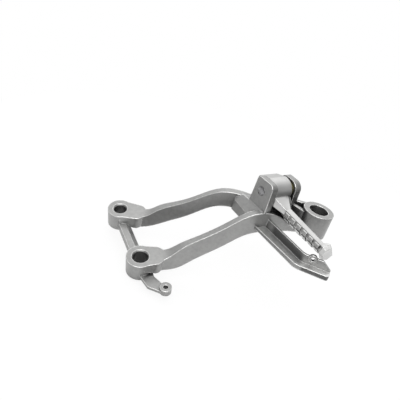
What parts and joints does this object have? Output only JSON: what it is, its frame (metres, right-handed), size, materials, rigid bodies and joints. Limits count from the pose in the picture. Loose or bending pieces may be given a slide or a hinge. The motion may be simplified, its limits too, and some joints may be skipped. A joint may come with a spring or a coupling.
{
  "type": "motorcycle passenger footpeg",
  "caption": "Folding passenger footpeg on a cast aluminium bracket with blade arms, bolt bosses, heel guard and exhaust hanger eye.",
  "frame": {"origin": "centre of the lower frame bolt's bore, halfway through its boss", "axes": "X along the hinge pin, from the arms towards the hanger; Z along the hanger bore and the opened peg, away from the motorcycle; Y from the heel guard side towards the upper frame bolt"},
  "size_m": [0.1662, 0.197, 0.1132],
  "materials": {
    "cast_aluminium": "satin, fine cast grain",
    "bright_aluminium": "bright, polished edges",
    "zinc_steel": "zinc plated",
    "yellow_zinc": "yellow zinc plated"
  },
  "bodies": {
    "bracket_body": {"bracket": "cast_aluminium", "hinge_pin": "zinc_steel", "retaining_clip": "zinc_steel", "spring_washer": "yellow_zinc"},
    "peg_body": {"footpeg": "bright_aluminium"}
  },
  "joints": [
    {"name": "peg_fold", "type": "hinge", "parent": "bracket_body", "child": "peg_body", "pos_m": [0.10582, -0.03067, 0.08971], "axis": [1, 0, 0], "range_deg": [-100, 0]}
  ]
}
